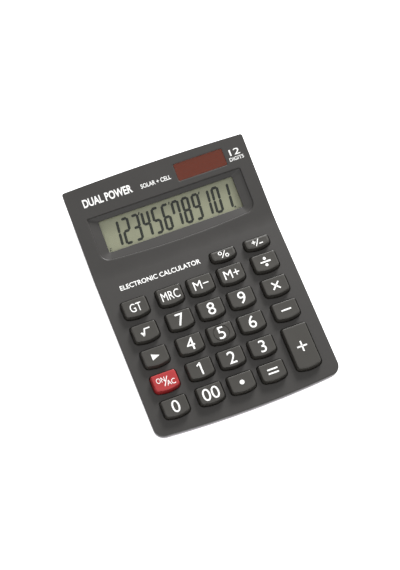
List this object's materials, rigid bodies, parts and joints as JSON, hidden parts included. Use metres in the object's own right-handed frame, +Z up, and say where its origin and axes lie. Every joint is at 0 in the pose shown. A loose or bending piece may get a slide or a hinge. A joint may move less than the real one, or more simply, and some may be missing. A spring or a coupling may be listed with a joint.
{
  "type": "desktop pocket calculator",
  "caption": "Wedge-shaped solar and battery calculator with a sunken display, sprung keys on a rubber keypad, and a battery door under its rear edge.",
  "frame": {"origin": "on the table under the centre of the case, midway across it and midway between its front and rear crowns", "axes": "+X to the user's right, +Y away from the user towards the display end, +Z up"},
  "size_m": [0.1064, 0.1474, 0.0288],
  "materials": {
    "dark_abs": "fine spark-eroded texture, matte",
    "dark_key_abs": "smooth satin moulded, white printed legends",
    "red_key_abs": "smooth satin moulded, white printed legend",
    "grey_abs": "light warm grey, fine texture",
    "white_abs": "plain moulded",
    "clear_window": "clear polystyrene sheet",
    "red_window": "red-brown tinted clear acrylic",
    "lcd_glass": "grey-green liquid crystal panel",
    "silicon_cell": "amorphous silicon on glass, red-brown",
    "ribbon_film": "amber film",
    "board_laminate": "phenolic laminate",
    "epoxy_black": "black resin",
    "silicone_rubber": "grey silicone rubber",
    "cell_label": "printed plastic sleeve",
    "nickel_plate": "nickel plated spring steel",
    "screw_steel": "zinc plated steel",
    "foot_rubber": "black rubber",
    "wire_red": "PVC insulation",
    "wire_black": "PVC insulation"
  },
  "bodies": {
    "housing": {"upper_case": "dark_abs", "lower_case": "grey_abs", "display_window": "clear_window", "lcd_panel": "lcd_glass", "lcd_frame": "white_abs", "lcd_ribbon": "ribbon_film", "solar_window": "red_window", "solar_cell": "silicon_cell", "circuit_board": "board_laminate", "processor_blob": "epoxy_black", "rubber_keypad": "silicone_rubber", "battery_cell": "cell_label", "battery_contact_spring": "nickel_plate", "battery_contact_plus": "nickel_plate", "battery_wire_red": "wire_red", "battery_wire_black": "wire_black", "solar_wire_red": "wire_red", "solar_wire_black": "wire_black", "case_screw_front_left": "screw_steel", "case_screw_front_right": "screw_steel", "case_screw_middle_left": "screw_steel", "case_screw_middle_right": "screw_steel", "case_screw_rear_left": "screw_steel", "case_screw_rear_right": "screw_steel", "board_screw_rear_left": "screw_steel", "board_screw_rear_right": "screw_steel", "board_screw_front_left": "screw_steel", "board_screw_front_right": "screw_steel", "foot_front_left": "foot_rubber", "foot_front_right": "foot_rubber", "foot_rear_left": "foot_rubber", "foot_rear_right": "foot_rubber"},
    "key_gt": {"key_gt": "dark_key_abs"},
    "key_mrc": {"key_mrc": "dark_key_abs"},
    "key_m_minus": {"key_m_minus": "dark_key_abs"},
    "key_m_plus": {"key_m_plus": "dark_key_abs"},
    "key_divide": {"key_divide": "dark_key_abs"},
    "key_sqrt": {"key_sqrt": "dark_key_abs"},
    "key_7": {"key_7": "dark_key_abs"},
    "key_8": {"key_8": "dark_key_abs"},
    "key_9": {"key_9": "dark_key_abs"},
    "key_multiply": {"key_multiply": "dark_key_abs"},
    "key_arrow": {"key_arrow": "dark_key_abs"},
    "key_4": {"key_4": "dark_key_abs"},
    "key_5": {"key_5": "dark_key_abs"},
    "key_6": {"key_6": "dark_key_abs"},
    "key_minus": {"key_minus": "dark_key_abs"},
    "key_on_ac": {"key_on_ac": "red_key_abs"},
    "key_1": {"key_1": "dark_key_abs"},
    "key_2": {"key_2": "dark_key_abs"},
    "key_3": {"key_3": "dark_key_abs"},
    "key_plus": {"key_plus": "dark_key_abs"},
    "key_0": {"key_0": "dark_key_abs"},
    "key_00": {"key_00": "dark_key_abs"},
    "key_point": {"key_point": "dark_key_abs"},
    "key_equals": {"key_equals": "dark_key_abs"},
    "key_percent": {"key_percent": "dark_key_abs"},
    "key_sign": {"key_sign": "dark_key_abs"},
    "battery_door": {"battery_door": "grey_abs"}
  },
  "joints": [
    {"name": "key_gt_press", "type": "slide", "parent": "housing", "child": "key_gt", "axis": [0, 0.0698, -0.9976], "range_m": [0, 0.0012], "stiffness_N_per_m": 400, "deforming": ["rubber_keypad"]},
    {"name": "key_mrc_press", "type": "slide", "parent": "housing", "child": "key_mrc", "axis": [0, 0.0698, -0.9976], "range_m": [0, 0.0012], "stiffness_N_per_m": 400, "deforming": ["rubber_keypad"]},
    {"name": "key_m_minus_press", "type": "slide", "parent": "housing", "child": "key_m_minus", "axis": [0, 0.0698, -0.9976], "range_m": [0, 0.0012], "stiffness_N_per_m": 400, "deforming": ["rubber_keypad"]},
    {"name": "key_m_plus_press", "type": "slide", "parent": "housing", "child": "key_m_plus", "axis": [0, 0.0698, -0.9976], "range_m": [0, 0.0012], "stiffness_N_per_m": 400, "deforming": ["rubber_keypad"]},
    {"name": "key_divide_press", "type": "slide", "parent": "housing", "child": "key_divide", "axis": [0, 0.0698, -0.9976], "range_m": [0, 0.0012], "stiffness_N_per_m": 400, "deforming": ["rubber_keypad"]},
    {"name": "key_sqrt_press", "type": "slide", "parent": "housing", "child": "key_sqrt", "axis": [0, 0.0698, -0.9976], "range_m": [0, 0.0012], "stiffness_N_per_m": 400, "deforming": ["rubber_keypad"]},
    {"name": "key_7_press", "type": "slide", "parent": "housing", "child": "key_7", "axis": [0, 0.0698, -0.9976], "range_m": [0, 0.0012], "stiffness_N_per_m": 400, "deforming": ["rubber_keypad"]},
    {"name": "key_8_press", "type": "slide", "parent": "housing", "child": "key_8", "axis": [0, 0.0698, -0.9976], "range_m": [0, 0.0012], "stiffness_N_per_m": 400, "deforming": ["rubber_keypad"]},
    {"name": "key_9_press", "type": "slide", "parent": "housing", "child": "key_9", "axis": [0, 0.0698, -0.9976], "range_m": [0, 0.0012], "stiffness_N_per_m": 400, "deforming": ["rubber_keypad"]},
    {"name": "key_multiply_press", "type": "slide", "parent": "housing", "child": "key_multiply", "axis": [0, 0.0698, -0.9976], "range_m": [0, 0.0012], "stiffness_N_per_m": 400, "deforming": ["rubber_keypad"]},
    {"name": "key_arrow_press", "type": "slide", "parent": "housing", "child": "key_arrow", "axis": [0, 0.0698, -0.9976], "range_m": [0, 0.0012], "stiffness_N_per_m": 400, "deforming": ["rubber_keypad"]},
    {"name": "key_4_press", "type": "slide", "parent": "housing", "child": "key_4", "axis": [0, 0.0698, -0.9976], "range_m": [0, 0.0012], "stiffness_N_per_m": 400, "deforming": ["rubber_keypad"]},
    {"name": "key_5_press", "type": "slide", "parent": "housing", "child": "key_5", "axis": [0, 0.0698, -0.9976], "range_m": [0, 0.0012], "stiffness_N_per_m": 400, "deforming": ["rubber_keypad"]},
    {"name": "key_6_press", "type": "slide", "parent": "housing", "child": "key_6", "axis": [0, 0.0698, -0.9976], "range_m": [0, 0.0012], "stiffness_N_per_m": 400, "deforming": ["rubber_keypad"]},
    {"name": "key_minus_press", "type": "slide", "parent": "housing", "child": "key_minus", "axis": [0, 0.0698, -0.9976], "range_m": [0, 0.0012], "stiffness_N_per_m": 400, "deforming": ["rubber_keypad"]},
    {"name": "key_on_ac_press", "type": "slide", "parent": "housing", "child": "key_on_ac", "axis": [0, 0.0698, -0.9976], "range_m": [0, 0.0012], "stiffness_N_per_m": 400, "deforming": ["rubber_keypad"]},
    {"name": "key_1_press", "type": "slide", "parent": "housing", "child": "key_1", "axis": [0, 0.0698, -0.9976], "range_m": [0, 0.0012], "stiffness_N_per_m": 400, "deforming": ["rubber_keypad"]},
    {"name": "key_2_press", "type": "slide", "parent": "housing", "child": "key_2", "axis": [0, 0.0698, -0.9976], "range_m": [0, 0.0012], "stiffness_N_per_m": 400, "deforming": ["rubber_keypad"]},
    {"name": "key_3_press", "type": "slide", "parent": "housing", "child": "key_3", "axis": [0, 0.0698, -0.9976], "range_m": [0, 0.0012], "stiffness_N_per_m": 400, "deforming": ["rubber_keypad"]},
    {"name": "key_plus_press", "type": "slide", "parent": "housing", "child": "key_plus", "axis": [0, 0.0698, -0.9976], "range_m": [0, 0.0012], "stiffness_N_per_m": 400, "deforming": ["rubber_keypad"]},
    {"name": "key_0_press", "type": "slide", "parent": "housing", "child": "key_0", "axis": [0, 0.0698, -0.9976], "range_m": [0, 0.0012], "stiffness_N_per_m": 400, "deforming": ["rubber_keypad"]},
    {"name": "key_00_press", "type": "slide", "parent": "housing", "child": "key_00", "axis": [0, 0.0698, -0.9976], "range_m": [0, 0.0012], "stiffness_N_per_m": 400, "deforming": ["rubber_keypad"]},
    {"name": "key_point_press", "type": "slide", "parent": "housing", "child": "key_point", "axis": [0, 0.0698, -0.9976], "range_m": [0, 0.0012], "stiffness_N_per_m": 400, "deforming": ["rubber_keypad"]},
    {"name": "key_equals_press", "type": "slide", "parent": "housing", "child": "key_equals", "axis": [0, 0.0698, -0.9976], "range_m": [0, 0.0012], "stiffness_N_per_m": 400, "deforming": ["rubber_keypad"]},
    {"name": "key_percent_press", "type": "slide", "parent": "housing", "child": "key_percent", "axis": [0, 0.0698, -0.9976], "range_m": [0, 0.0012], "stiffness_N_per_m": 400, "deforming": ["rubber_keypad"]},
    {"name": "key_sign_press", "type": "slide", "parent": "housing", "child": "key_sign", "axis": [0, 0.0698, -0.9976], "range_m": [0, 0.0012], "stiffness_N_per_m": 400, "deforming": ["rubber_keypad"]},
    {"name": "battery_door_slide", "type": "slide", "parent": "housing", "child": "battery_door", "axis": [0, 1, 0], "range_m": [0, 0.024]}
  ]
}
